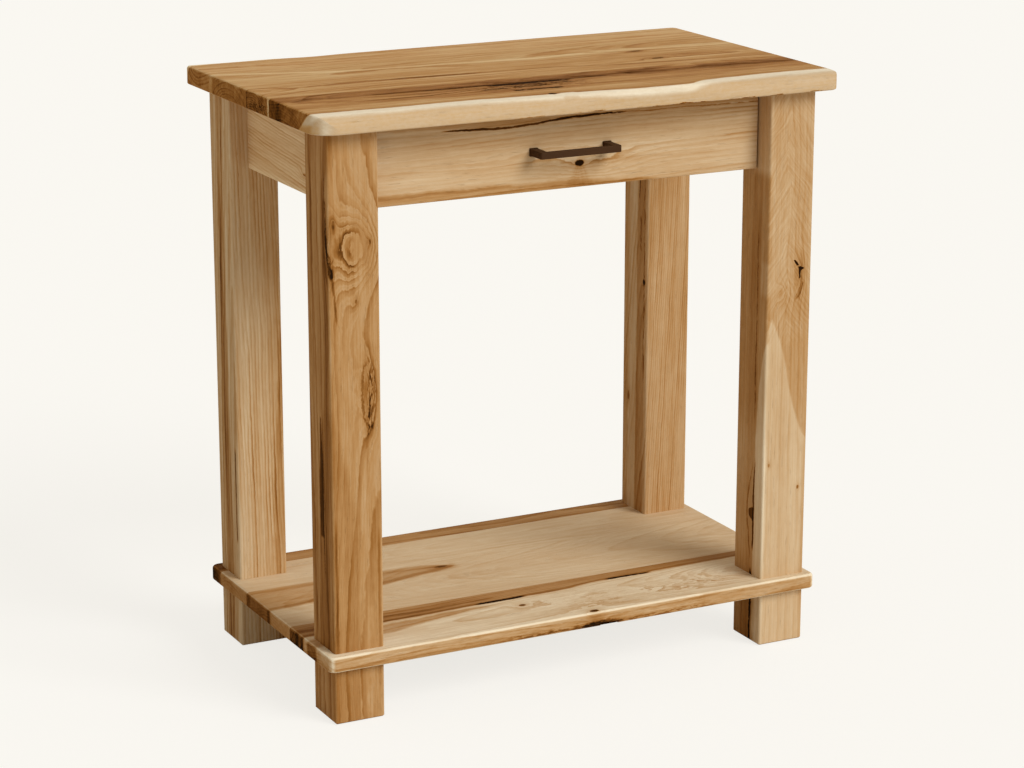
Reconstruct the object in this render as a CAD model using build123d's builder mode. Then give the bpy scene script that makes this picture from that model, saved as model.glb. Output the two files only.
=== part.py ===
"""Rustic hickory side table with one drawer and a lower shelf.

Millimetres, +Z up, front towards -Y. The origin is on the floor, under the middle of the table.
Square posts stand on an edge-glued shelf, short feet carry the shelf, and a lag screw runs up each leg.
Aprons are tenoned into the posts. The drawer hangs on telescopic slides with two ball cages each.
"""
from build123d import *
import os

os.makedirs("parts", exist_ok=True)

# Overall sizes
table_height = 762.0
top_length = 718.0
top_depth = 418.0
top_thickness = 23.5
post_side = 66.0
post_span_x = 674.0  # outside to outside of the posts
post_span_y = 374.0
foot_height = 73.5  # floor to the underside of the shelf
shelf_thickness = 19.5
shelf_overhang_x = 11.7
shelf_overhang_y = 12.6
board_thickness = 19.0  # aprons, stretcher and drawer front
apron_recess = 25.6  # apron face behind the posts' outer faces
apron_bottom = 640.0
drawer_recess = 28.0
drawer_front_bottom = 637.0
drawer_front_top_gap = 3.0
drawer_front_side_gap = 2.0

# Fits: gaps that leave separate pieces clear of each other
hole_fit = 0.1
joint_fit = 0.1

# Rounded and broken edges
board_ease = 4.0  # upper edges of the top and the shelf
top_under_ease = 2.0
shelf_under_ease = 2.5
shelf_corner = 10.0
post_ease = 3.0
foot_chamfer = 1.5
apron_chamfer = 1.0

# Levels and places that follow from them
top_under = table_height - top_thickness
shelf_top = foot_height + shelf_thickness
post_x = (post_span_x - post_side) / 2
post_y = (post_span_y - post_side) / 2
inner_x = post_x - post_side / 2  # inner faces of the posts
inner_y = post_y - post_side / 2
side_apron_x = post_x + post_side / 2 - apron_recess - board_thickness / 2
back_apron_y = post_y + post_side / 2 - apron_recess - board_thickness / 2
apron_inner_x = side_apron_x - board_thickness / 2
apron_inner_y = back_apron_y - board_thickness / 2
corners = {"front_left": (-1, -1), "front_right": (1, -1), "back_left": (-1, 1), "back_right": (1, 1)}
sides = {"left": -1, "right": 1}

# Natural edges of the top: (X, how far the upper edge stands back from the lower one)
front_wane = ((-370, 21), (-290, 20), (-215, 20.5), (-178, 22), (-110, 18.5), (-47, 14.5), (0, 13), (50, 6.5),
              (105, 4.6), (130, 4.8), (155, 12), (180, 20.5), (240, 26), (300, 28), (370, 25))
back_wane = ((-370, 4.6), (-290, 6), (-250, 4.8), (-190, 10.5), (-130, 6), (0, 5.5), (120, 4.6), (370, 5))
wane_reach = 370.0  # the cutters run past both ends
wane_steps = 40
wane_over = 1.0  # the cutters also run past the upper and lower faces
wane_clearance = 6.0  # and past the widest part of the edge
top_seams = (-67.0, 5.0, 127.0)  # Y of the glue lines
top_names = ("top_board_front", "top_board_mid_front", "top_board_mid_back", "top_board_back")
shelf_seams = (-72.0, 72.0, 163.0)
shelf_names = ("shelf_board_front", "shelf_board_mid_front", "shelf_board_mid_back", "shelf_board_back")

# Tenons
tenon_thickness = 9.5
tenon_length = 25.0
tenon_bottom = apron_bottom + 10.0
tenon_height = 76.0

# Leg hardware
lag_radius = 4.75
lag_length = 150.0
lag_point = 3.0
lag_head_across = 14.3
lag_head_height = 6.4
washer_radius = 12.7
washer_thickness = 2.0
counterbore_radius = 13.5
counterbore_top = 25.0
dowel_radius = 4.75
dowel_depth = 20.0
dowel_offset = 17.0
dowel_chamfer = 0.8
blind_gap = 0.5  # room past the end of a dowel
glide_radius = 19.5
glide_thickness = 4.0
glide_proud = 1.0
glide_chamfer = 0.8

# Screws: countersunk wood screws, pan-headed slide and clip screws, and machine screws for the pull
wood_screw_radius = 2.1
wood_screw_length = 32.0
csk_radius = 4.5
csk_depth = 3.0
csk_drive_depth = 3.6
drive_size = 2.6
slide_screw_radius = 1.7
slide_screw_length = 12.0
slide_screw_hole = 13.0
drawer_screw_length = 10.5
pan_radius = 3.5
pan_height = 2.2
clip_screw_length = 15.0
clip_screw_head = 4.0
low_head = 2.4
face_screw_head = 4.2
face_screw_reach = 14.0
pull_screw_radius = 2.0
pull_screw_head = 4.0
pull_screw_reach = 9.0
slot_length = 4.4
slot_width = 1.0
wood_screw_hole = wood_screw_radius + hole_fit
csk_hole = csk_radius + hole_fit
standing = (Align.CENTER, Align.CENTER, Align.MIN)
hanging = (Align.CENTER, Align.CENTER, Align.MAX)

# Drawer slides
slide_length = 250.0
slide_z = 676.0
slide_thickness = 12.7
slide_gauge = 1.1
slide_set_back = 2.0  # behind the drawer front's back face
slide_front = -post_y - post_side / 2 + drawer_recess + board_thickness + slide_set_back
outer_half, outer_reach = 22.85, 9.0
middle_half, middle_web, middle_reach = 18.5, 4.6, 11.0
inner_half, inner_reach = 13.9, 7.2
cage_length = 104.0
cage_gauge = 0.6
cage_start = slide_front + 70.0
outer_cage = (3.6, 8.6)  # depths of the strip's web and flange edge from the cabinet face
inner_cage = (6.0, 10.4)
outer_ball_depth, outer_ball_radius = 7.0, 1.2
inner_ball_depth, inner_ball_radius = 8.9, 1.3
balls_per_row = 6
cabinet_screw_y = (slide_front + 8.0, slide_front + 108.0, slide_front + 218.0)  # the first is in the post
drawer_screw_y = (slide_front + 30.0, slide_front + 125.0, slide_front + 225.0)
cleat_screw_y = (-90.0, 25.0, 108.0)

# Drawer box
box_wall = 12.7
box_half_width = inner_x - slide_thickness - 0.3
box_front = slide_front - slide_set_back
box_depth = 254.0
box_bottom = 646.0
box_height = 70.0
tail_count = 3
tail_width = 17.0
tail_slope = 1 / 6
panel_thickness = 6.4
panel_inset = 6.0
panel_gap = 0.2  # between the panel's edge and the bottom of its groove
panel_bottom = box_bottom + 9.5

# Pull
pull_centres = 101.6
pull_length = 112.0
pull_height = 8.5
pull_bar = 5.0
pull_standoff = 30.0
pull_leg = 10.4
pull_corner = 2.5
pull_ease = 0.8
pad_length = pull_leg + 1.2
pad_height = pull_height + 1.8
pad_thickness = 2.0
pull_hole_depth = 11.0
pull_z = (drawer_front_bottom + top_under - drawer_front_top_gap) / 2

# Tabletop clips and stretcher
clip_width = 24.0
clip_gauge = 1.5
clip_drop = 10.0
clip_tongue = 8.0
clip_plate = 18.0
clip_lean = 0.2  # the clip's upright stands off the apron
clip_slot_room = 1.0
side_clip_y = (-45.0, 75.0)
back_clip_x = (-160.0, 0.0, 160.0)
clip_faces = [(sx * apron_inner_x, y) for sx in sides.values() for y in side_clip_y]
clip_faces += [(x, apron_inner_y) for x in back_clip_x]
clip_hole = 10.0  # from the apron's inner face
clip_holes = [(sx * (apron_inner_x - clip_hole), y) for sx in sides.values() for y in side_clip_y]
clip_holes += [(x, apron_inner_y - clip_hole) for x in back_clip_x]
stretcher_width = 60.0
stretcher_tenon = 12.0
stretcher_tenon_length = 20.0
stretcher_front = box_front + slide_set_back
stretcher_tenon_y = (stretcher_front - inner_y) / 2
stretcher_tenon_z = top_under - (board_thickness + tenon_thickness) / 2
stretcher_holes = [(x, stretcher_front + stretcher_width / 2) for x in (-190.0, 0.0, 190.0)]
cleat_bottom = slide_z - 30.0
cleat_height = 60.0
cleat_end_gap = 0.2


def save(piece, name):
    """Label one finished piece and write it under its node name."""
    piece.part.label = name
    export_step(piece.part, f"parts/{name}.step")


def cut_boards(slab, seams, names, half_depth):
    """Split an edge-glued slab along its glue lines and save each board."""
    lows = (-half_depth - 10,) + seams
    highs = seams + (half_depth + 10,)
    for name, low, high in zip(names, lows, highs):
        with BuildPart() as board:
            add(slab.part)
            with Locations((0, (low + high) / 2, table_height / 2)):
                Box(top_length * 1.2, high - low, table_height * 1.1, mode=Mode.INTERSECT)
        save(board, name)


def eased(stations, x):
    """A smooth value at x between the stations on either side of it."""
    for (low, start), (high, end) in zip(stations, stations[1:]):
        if low <= x <= high:
            t = (x - low) / (high - low)
            return start + (end - start) * t * t * (3 - 2 * t)


def wane_cutter(stations, side):
    """The wood missing outside a natural edge: a convex face, lofted along X. side is -1 at the front."""
    edge = side * top_depth / 2
    outside = edge + side * wane_clearance
    low, high = top_under - wane_over, table_height + wane_over
    with BuildPart() as cutter:
        for i in range(wane_steps + 1):
            x = wane_reach * (2 * i / wane_steps - 1)
            inset = eased(stations, x)
            arris = (edge - side * inset, table_height)
            with BuildSketch(Plane.YZ.offset(x)):
                with BuildLine():
                    Spline(
                        (edge, low),
                        (edge - side * 0.06 * inset, top_under + 0.50 * top_thickness),
                        (edge - side * 0.36 * inset, top_under + 0.85 * top_thickness),
                        arris,
                        tangents=((0, 1), (-side, 0.2)),
                    )
                    Polyline(
                        arris,
                        (arris[0], high),
                        (outside, high),
                        (outside, low),
                        (edge, low),
                    )
                make_face()
        loft(ruled=True)
    return cutter


# Top: four edge-glued boards with natural front and back edges
front_wane_cutter = wane_cutter(front_wane, -1)
back_wane_cutter = wane_cutter(back_wane, 1)
corner_radii = {(-1, -1): 30.0, (1, -1): 14.0, (-1, 1): 6.0, (1, 1): 12.0}
with BuildPart() as top_slab:
    with BuildSketch(Plane.XY.offset(top_under)):
        Rectangle(top_length, top_depth)
    extrude(amount=top_thickness)
    for (sx, sy), radius in corner_radii.items():
        corner = Vector(sx * top_length / 2, sy * top_depth / 2, top_under)
        fillet(top_slab.edges().filter_by(Axis.Z).sort_by_distance(corner)[0], radius)
    fillet(top_slab.faces().sort_by(Axis.Z)[-1].edges(), board_ease)
    fillet(top_slab.faces().sort_by(Axis.Z)[0].edges(), top_under_ease)
    add(front_wane_cutter.part, mode=Mode.SUBTRACT)
    add(back_wane_cutter.part, mode=Mode.SUBTRACT)
    # pilot holes for the clip screws and the stretcher screws
    with Locations([(x, y, top_under) for x, y in clip_holes + stretcher_holes]):
        Cylinder(wood_screw_hole, wood_screw_length, mode=Mode.SUBTRACT)
cut_boards(top_slab, top_seams, top_names, top_depth / 2)

# Shelf: four edge-glued boards, drilled for the lag screws and dowels
shelf_length = post_span_x + 2 * shelf_overhang_x
shelf_depth = post_span_y + 2 * shelf_overhang_y
leg_places = [(sx * post_x, sy * post_y) for sx, sy in corners.values()]
dowel_places = [(x + d, y + d) for x, y in leg_places for d in (-dowel_offset, dowel_offset)]
with BuildPart() as shelf_slab:
    with BuildSketch(Plane.XY.offset(foot_height)):
        RectangleRounded(shelf_length, shelf_depth, shelf_corner)
    extrude(amount=shelf_thickness)
    fillet(shelf_slab.faces().sort_by(Axis.Z)[-1].edges(), board_ease)
    fillet(shelf_slab.faces().sort_by(Axis.Z)[0].edges(), shelf_under_ease)
    with BuildSketch(Plane.XY.offset(foot_height)):
        with Locations(leg_places):
            Circle(lag_radius + hole_fit)
        with Locations(dowel_places):
            Circle(dowel_radius + hole_fit)
    extrude(amount=shelf_thickness, mode=Mode.SUBTRACT)
    # a chip where a bark pocket has fallen out of the lower front edge
    with BuildSketch(Plane.XZ.offset(shelf_depth / 2 + 1)):
        with BuildLine():
            Polyline((24, foot_height - 1), (27, foot_height + 3.6), (38, foot_height + 4.4),
                     (49, foot_height + 2.8), (55, foot_height - 1), (24, foot_height - 1))
        make_face()
    extrude(amount=-9, taper=12, mode=Mode.SUBTRACT)
cut_boards(shelf_slab, shelf_seams, shelf_names, shelf_depth / 2)

# Posts, feet and the hardware that holds each leg together
for name, (sx, sy) in corners.items():
    leg = (sx * post_x, sy * post_y)
    dowels = [(leg[0] + d, leg[1] + d) for d in (-dowel_offset, dowel_offset)]
    with BuildPart() as post:
        with BuildSketch(Plane.XY.offset(shelf_top)):
            with Locations(leg):
                RectangleRounded(post_side, post_side, post_ease)
        extrude(amount=top_under - shelf_top)
        # mortise for the side apron
        with BuildSketch(Plane.XY.offset(tenon_bottom - joint_fit)):
            with Locations((sx * side_apron_x, sy * inner_y)):
                Rectangle(tenon_thickness + 2 * joint_fit, 2 * tenon_length + 1)
        extrude(amount=tenon_height + 2 * joint_fit, mode=Mode.SUBTRACT)
        if sy > 0:
            # mortise for the back apron
            with BuildSketch(Plane.XY.offset(tenon_bottom - joint_fit)):
                with Locations((sx * inner_x, back_apron_y)):
                    Rectangle(2 * tenon_length + 1, tenon_thickness + 2 * joint_fit)
            extrude(amount=tenon_height + 2 * joint_fit, mode=Mode.SUBTRACT)
        else:
            # mortise for the front stretcher
            with BuildSketch(Plane.XY.offset(stretcher_tenon_z - joint_fit)):
                with Locations((sx * inner_x, stretcher_tenon_y)):
                    Rectangle(2 * stretcher_tenon_length + 1, stretcher_tenon + 2 * joint_fit)
            extrude(amount=tenon_thickness + 2 * joint_fit, mode=Mode.SUBTRACT)
        with BuildSketch(Plane.XY.offset(shelf_top)):
            with Locations(leg):
                Circle(lag_radius + hole_fit)
        extrude(amount=counterbore_top + lag_length + 4 * blind_gap - shelf_top, mode=Mode.SUBTRACT)
        with BuildSketch(Plane.XY.offset(shelf_top)):
            with Locations(dowels):
                Circle(dowel_radius + hole_fit)
        extrude(amount=dowel_depth + blind_gap, mode=Mode.SUBTRACT)
        if sy < 0:
            # pilot hole for the front screw of the slide
            with BuildSketch(Plane.YZ.offset(sx * inner_x)):
                with Locations((cabinet_screw_y[0], slide_z)):
                    Circle(slide_screw_radius + hole_fit)
            extrude(amount=sx * slide_screw_hole, mode=Mode.SUBTRACT)
    save(post, f"post_{name}")

    with BuildPart() as foot:
        with BuildSketch(Plane.XY.offset(glide_proud)):
            with Locations(leg):
                RectangleRounded(post_side, post_side, post_ease)
        extrude(amount=foot_height - glide_proud)
        chamfer(foot.faces().sort_by(Axis.Z)[0].edges(), foot_chamfer)
        with BuildSketch(Plane.XY.offset(glide_proud)):
            with Locations(leg):
                Circle(glide_radius + hole_fit)
        extrude(amount=glide_thickness - glide_proud, mode=Mode.SUBTRACT)
        with BuildSketch(Plane.XY.offset(glide_proud)):
            with Locations(leg):
                Circle(counterbore_radius)
        extrude(amount=counterbore_top - glide_proud, mode=Mode.SUBTRACT)
        with BuildSketch(Plane.XY.offset(glide_proud)):
            with Locations(leg):
                Circle(lag_radius + hole_fit)
        extrude(amount=foot_height, mode=Mode.SUBTRACT)
        with BuildSketch(Plane.XY.offset(foot_height)):
            with Locations(dowels):
                Circle(dowel_radius + hole_fit)
        extrude(amount=-dowel_depth - blind_gap, mode=Mode.SUBTRACT)
    save(foot, f"foot_{name}")

with BuildPart() as foot_glides:
    with BuildSketch():
        with Locations(leg_places):
            Circle(glide_radius)
    extrude(amount=glide_thickness)
    chamfer(foot_glides.faces().group_by(Axis.Z)[0].edges(), glide_chamfer)
save(foot_glides, "foot_glides")

with BuildPart() as lag_washers:
    with BuildSketch(Plane.XY.offset(counterbore_top)):
        with Locations(leg_places):
            Circle(washer_radius)
            Circle(lag_radius + hole_fit, mode=Mode.SUBTRACT)
    extrude(amount=-washer_thickness)
save(lag_washers, "lag_washers")

with BuildPart() as lag_screws:
    with BuildSketch(Plane.XY.offset(counterbore_top - washer_thickness)):
        with Locations(leg_places):
            RegularPolygon(lag_head_across / 2, 6, major_radius=False)
    extrude(amount=-lag_head_height)
    with BuildSketch(Plane.XY.offset(counterbore_top - washer_thickness)):
        with Locations(leg_places):
            Circle(lag_radius)
    extrude(amount=lag_length + washer_thickness)
    chamfer(lag_screws.faces().group_by(Axis.Z)[-1].edges(), lag_point)
save(lag_screws, "lag_screws")

with BuildPart() as shelf_dowels:
    with BuildSketch(Plane.XY.offset(foot_height - dowel_depth)):
        with Locations(dowel_places):
            Circle(dowel_radius)
    extrude(amount=shelf_thickness + 2 * dowel_depth)
    chamfer(shelf_dowels.edges().filter_by(GeomType.CIRCLE), dowel_chamfer)
save(shelf_dowels, "shelf_dowels")

# Aprons, tenoned into the posts and slotted inside for the tabletop clips
clip_slot_z = top_under - clip_drop - clip_gauge
for name, sx in sides.items():
    with BuildPart() as apron:
        with BuildSketch(Plane.XY.offset(apron_bottom)):
            with Locations((sx * side_apron_x, 0)):
                Rectangle(board_thickness, 2 * inner_y)
        extrude(amount=top_under - apron_bottom)
        chamfer(apron.edges().filter_by(Axis.Y).group_by(Axis.Z)[0], apron_chamfer)
        with BuildSketch(Plane.XY.offset(tenon_bottom)):
            with Locations((sx * side_apron_x, 0)):
                Rectangle(tenon_thickness, 2 * (inner_y + tenon_length))
        extrude(amount=tenon_height)
        with BuildSketch(Plane.XY.offset(clip_slot_z - joint_fit)):
            with Locations([(sx * apron_inner_x, y) for y in side_clip_y]):
                Rectangle(2 * (clip_tongue + clip_slot_room), clip_width + 2 * clip_slot_room)
        extrude(amount=clip_gauge + 2 * joint_fit, mode=Mode.SUBTRACT)
        with BuildSketch(Plane.YZ.offset(sx * apron_inner_x)):
            with Locations([(y, slide_z) for y in cleat_screw_y]):
                Circle(wood_screw_hole)
        extrude(amount=sx * 12.0, mode=Mode.SUBTRACT)
    save(apron, f"apron_{name}")

with BuildPart() as apron_back:
    with BuildSketch(Plane.XY.offset(apron_bottom)):
        with Locations((0, back_apron_y)):
            Rectangle(2 * inner_x, board_thickness)
    extrude(amount=top_under - apron_bottom)
    chamfer(apron_back.edges().filter_by(Axis.X).group_by(Axis.Z)[0], apron_chamfer)
    with BuildSketch(Plane.XY.offset(tenon_bottom)):
        with Locations((0, back_apron_y)):
            Rectangle(2 * (inner_x + tenon_length), tenon_thickness)
    extrude(amount=tenon_height)
    with BuildSketch(Plane.XY.offset(clip_slot_z - joint_fit)):
        with Locations([(x, apron_inner_y) for x in back_clip_x]):
            Rectangle(clip_width + 2 * clip_slot_room, 2 * (clip_tongue + clip_slot_room))
    extrude(amount=clip_gauge + 2 * joint_fit, mode=Mode.SUBTRACT)
save(apron_back, "apron_back")

# Flat stretcher behind the drawer front, tenoned into the front posts and screwed to the top
with BuildPart() as front_stretcher:
    with BuildSketch(Plane.XY.offset(top_under - board_thickness)):
        with Locations((0, stretcher_front + stretcher_width / 2)):
            Rectangle(2 * inner_x, stretcher_width)
    extrude(amount=board_thickness)
    with BuildSketch(Plane.XY.offset(stretcher_tenon_z)):
        with Locations((0, stretcher_tenon_y)):
            Rectangle(2 * (inner_x + stretcher_tenon_length), stretcher_tenon)
    extrude(amount=tenon_thickness)
    with Locations([(x, y, top_under - board_thickness) for x, y in stretcher_holes]):
        Cylinder(wood_screw_hole, 3 * board_thickness, mode=Mode.SUBTRACT)
        Cone(csk_hole, wood_screw_hole, csk_depth, align=standing, mode=Mode.SUBTRACT)
save(front_stretcher, "front_stretcher")

with BuildPart() as stretcher_screws:
    with Locations([(x, y, top_under - board_thickness) for x, y in stretcher_holes]):
        Cylinder(wood_screw_radius, wood_screw_length, align=standing)
        Cone(csk_radius, wood_screw_radius, csk_depth, align=standing)
        Box(drive_size, drive_size, csk_drive_depth, mode=Mode.SUBTRACT)
save(stretcher_screws, "stretcher_screws")

# Steel clips from the apron slots to the underside of the top
clip_turns = [-90.0 * sx for sx in sides.values() for _ in side_clip_y] + [0.0 for _ in back_clip_x]
with BuildPart() as tabletop_clips:
    for (x, y), turn in zip(clip_faces, clip_turns):
        # local +Y points into the apron, local Z is up
        place = Plane(Location((x, y, top_under), (0, 0, turn)))
        with BuildSketch(Plane(place.origin, x_dir=place.y_dir, z_dir=place.x_dir)):
            with Locations((-clip_plate / 2, -clip_gauge / 2)):
                Rectangle(clip_plate, clip_gauge)
            with Locations((-clip_gauge / 2 - clip_lean, -(clip_drop + clip_gauge) / 2)):
                Rectangle(clip_gauge, clip_drop + clip_gauge)
            with Locations(((clip_tongue - clip_gauge) / 2 - clip_lean, -clip_drop - clip_gauge / 2)):
                Rectangle(clip_tongue + clip_gauge, clip_gauge)
        extrude(amount=clip_width / 2, both=True)
    with Locations([(x, y, top_under) for x, y in clip_holes]):
        Cylinder(wood_screw_hole, 4 * clip_gauge, mode=Mode.SUBTRACT)
save(tabletop_clips, "tabletop_clips")

with BuildPart() as clip_screws:
    with Locations([(x, y, top_under - clip_gauge) for x, y in clip_holes]):
        Cylinder(wood_screw_radius, clip_screw_length, align=standing)
        Cylinder(clip_screw_head, low_head, align=hanging)
    fillet(clip_screws.faces().group_by(Axis.Z)[0].edges(), 1.0)
    with Locations([(x, y, top_under - clip_gauge - low_head) for x, y in clip_holes]):
        Box(drive_size, drive_size, drive_size, mode=Mode.SUBTRACT)
save(clip_screws, "clip_screws")

# Packing cleats that bring the slides flush with the posts' inner faces
for name, sx in sides.items():
    cleat_seats = [Location((sx * inner_x, y, slide_z), (0, sx * 90, 0)) for y in cleat_screw_y]
    with BuildPart() as cleat:
        with BuildSketch(Plane.XY.offset(cleat_bottom)):
            with Locations((sx * (apron_inner_x + inner_x) / 2, 0)):
                Rectangle(apron_inner_x - inner_x, 2 * (inner_y - cleat_end_gap))
        extrude(amount=cleat_height)
        with BuildSketch(Plane.YZ.offset(sx * inner_x)):
            with Locations([(y, slide_z) for y in cleat_screw_y]):
                Circle(wood_screw_hole)
        extrude(amount=sx * cleat_height, mode=Mode.SUBTRACT)
        with Locations(cleat_seats):
            Cone(csk_hole, wood_screw_hole, csk_depth, align=standing, mode=Mode.SUBTRACT)
        with BuildSketch(Plane.YZ.offset(sx * inner_x)):
            with Locations([(y, slide_z) for y in cabinet_screw_y[1:]]):
                Circle(slide_screw_radius + hole_fit)
        extrude(amount=sx * slide_screw_hole, mode=Mode.SUBTRACT)
    save(cleat, f"slide_cleat_{name}")

with BuildPart() as cleat_screws:
    for sx in sides.values():
        with Locations([Location((sx * inner_x, y, slide_z), (0, sx * 90, 0)) for y in cleat_screw_y]):
            Cylinder(wood_screw_radius, wood_screw_length, align=standing)
            Cone(csk_radius, wood_screw_radius, csk_depth, align=standing)
            Box(drive_size, drive_size, csk_drive_depth, mode=Mode.SUBTRACT)
save(cleat_screws, "cleat_screws")


def channel(sx, web, reach, half, length):
    """One rolled slide member. web and reach are depths of its two sides from the cabinet face."""
    low, high = min(web, reach), max(web, reach)
    inward = 1 if reach > web else -1
    with BuildPart() as member:
        with BuildSketch(Plane.XZ.offset(-slide_front)):
            with Locations((sx * (inner_x - (low + high) / 2), slide_z)):
                Rectangle(high - low, 2 * half)
            with Locations((sx * (inner_x - (low + high) / 2 - inward * slide_gauge), slide_z)):
                Rectangle(high - low, 2 * (half - slide_gauge), mode=Mode.SUBTRACT)
        extrude(amount=-length)
    return member


def ball_cage(sx, web, reach, track_half, ball_x, ball_radius):
    """A thin bent strip with a row of balls along its upper and lower edges."""
    rows = [slide_z - track_half, slide_z + track_half]
    pitch = cage_length / balls_per_row
    with BuildPart() as cage:
        with BuildSketch(Plane.XZ.offset(-cage_start)):
            with Locations((sx * (inner_x - (web + reach) / 2), slide_z)):
                Rectangle(reach - web, 2 * track_half + cage_gauge)
            with Locations((sx * (inner_x - (web + reach) / 2 - cage_gauge), slide_z)):
                Rectangle(reach - web, 2 * track_half - cage_gauge, mode=Mode.SUBTRACT)
        extrude(amount=-cage_length)
        with Locations([(sx * (inner_x - ball_x), cage_start + (i + 0.5) * pitch, z)
                        for i in range(balls_per_row) for z in rows]):
            Sphere(ball_radius)
    return cage


# Telescopic slides: cabinet, middle and drawer members, and the cages between them
outer_track = (outer_half - slide_gauge + middle_half) / 2
inner_track = (middle_half - slide_gauge + inner_half) / 2
for name, sx in sides.items():
    cabinet_member = channel(sx, 0.0, outer_reach, outer_half, slide_length)
    with BuildPart() as slide_cabinet:
        add(cabinet_member.part)
        with Locations([Location((sx * inner_x, y, slide_z), (0, 90, 0)) for y in cabinet_screw_y]):
            Cylinder(slide_screw_radius + hole_fit, 4 * slide_gauge, mode=Mode.SUBTRACT)
    save(slide_cabinet, f"slide_cabinet_{name}")

    save(channel(sx, middle_web, middle_reach, middle_half, slide_length), f"slide_middle_{name}")

    drawer_member = channel(sx, slide_thickness, inner_reach, inner_half, slide_length)
    drawer_face = sx * (inner_x - slide_thickness)
    with BuildPart() as slide_drawer:
        add(drawer_member.part)
        with Locations([Location((drawer_face, y, slide_z), (0, 90, 0)) for y in drawer_screw_y]):
            Cylinder(slide_screw_radius + hole_fit, 4 * slide_gauge, mode=Mode.SUBTRACT)
    save(slide_drawer, f"slide_drawer_{name}")

    outer = ball_cage(sx, *outer_cage, outer_track, outer_ball_depth, outer_ball_radius)
    save(outer, f"ball_cage_outer_{name}")
    inner = ball_cage(sx, *inner_cage, inner_track, inner_ball_depth, inner_ball_radius)
    save(inner, f"ball_cage_inner_{name}")

with BuildPart() as cabinet_slide_screws:
    for sx in sides.values():
        seat = sx * (inner_x - slide_gauge)
        with Locations([Location((seat, y, slide_z), (0, sx * 90, 0)) for y in cabinet_screw_y]):
            Cylinder(slide_screw_radius, slide_screw_length, align=standing)
            Cylinder(pan_radius, pan_height, align=hanging)
save(cabinet_slide_screws, "cabinet_slide_screws")

with BuildPart() as drawer_slide_screws:
    for sx in sides.values():
        seat = sx * (inner_x - slide_thickness + slide_gauge)
        with Locations([Location((seat, y, slide_z), (0, -sx * 90, 0)) for y in drawer_screw_y]):
            Cylinder(slide_screw_radius, drawer_screw_length, align=standing)
            Cylinder(pan_radius, pan_height, align=hanging)
save(drawer_slide_screws, "drawer_slide_screws")

# Drawer box: through dovetails, tails on the sides, and a panel held in a groove all round
box_back = box_front + box_depth
panel_half = box_half_width - box_wall + panel_inset
panel_depth = box_depth - 2 * (box_wall - panel_inset)
tail_pitch = box_height / tail_count


def tail_outlines(end, inward):
    """The tails at one end of a side, as outlines in Y and Z. inward points to the middle of the side."""
    narrow = tail_width / 2 - box_wall * tail_slope
    shoulder = end + inward * box_wall
    middles = [box_bottom + (i + 0.5) * tail_pitch for i in range(tail_count)]
    return [
        ((end, z - tail_width / 2), (end, z + tail_width / 2), (shoulder, z + narrow), (shoulder, z - narrow))
        for z in middles
    ]


with BuildPart() as panel_groove:
    with BuildSketch(Plane.XY.offset(panel_bottom - joint_fit)):
        with Locations((0, (box_front + box_back) / 2)):
            Rectangle(2 * (panel_half + panel_gap), panel_depth + 2 * panel_gap)
    extrude(amount=panel_thickness + 2 * joint_fit)

drawer_hole_z = (box_bottom + 22.0, box_bottom + box_height - 12.0)
face_screw_places = [(x, z) for x in (-200.0, 200.0) for z in drawer_hole_z]
pull_screw_places = [(-pull_centres / 2, pull_z), (pull_centres / 2, pull_z)]

for name, sx in sides.items():
    outer_face = sx * box_half_width
    with BuildPart() as drawer_side:
        with BuildSketch(Plane.YZ.offset(outer_face)):
            with Locations(((box_front + box_back) / 2, box_bottom + box_height / 2)):
                Rectangle(box_depth - 2 * box_wall, box_height)
        extrude(amount=-sx * box_wall)
        with BuildSketch(Plane.YZ.offset(outer_face)):
            for outline in tail_outlines(box_front, 1) + tail_outlines(box_back, -1):
                with BuildLine():
                    Polyline(outline, close=True)
                make_face()
        extrude(amount=-sx * box_wall)
        add(panel_groove.part, mode=Mode.SUBTRACT)
        with BuildSketch(Plane.YZ.offset(outer_face)):
            with Locations([(y, slide_z) for y in drawer_screw_y]):
                Circle(slide_screw_radius + hole_fit)
        extrude(amount=-sx * drawer_screw_length, mode=Mode.SUBTRACT)
    save(drawer_side, f"drawer_side_{name}")

for name, end, inward in (("drawer_box_front", box_front, 1), ("drawer_back", box_back, -1)):
    with BuildPart() as box_end:
        with BuildSketch(Plane.XY.offset(box_bottom)):
            with Locations((0, end + inward * box_wall / 2)):
                Rectangle(2 * box_half_width, box_wall)
        extrude(amount=box_height)
        for sx in sides.values():
            with BuildSketch(Plane.YZ.offset(sx * box_half_width)):
                for outline in tail_outlines(end, inward):
                    with BuildLine():
                        Polyline(outline, close=True)
                    make_face()
            extrude(amount=-sx * box_wall, mode=Mode.SUBTRACT)
        add(panel_groove.part, mode=Mode.SUBTRACT)
        if name == "drawer_box_front":
            with BuildSketch(Plane.XZ.offset(-box_front)):
                with Locations(face_screw_places + pull_screw_places):
                    Circle(wood_screw_hole)
            extrude(amount=-box_wall, mode=Mode.SUBTRACT)
    save(box_end, name)

with BuildPart() as drawer_bottom:
    with BuildSketch(Plane.XY.offset(panel_bottom)):
        with Locations((0, (box_front + box_back) / 2)):
            Rectangle(2 * panel_half, panel_depth)
    extrude(amount=panel_thickness)
save(drawer_bottom, "drawer_bottom")

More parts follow.
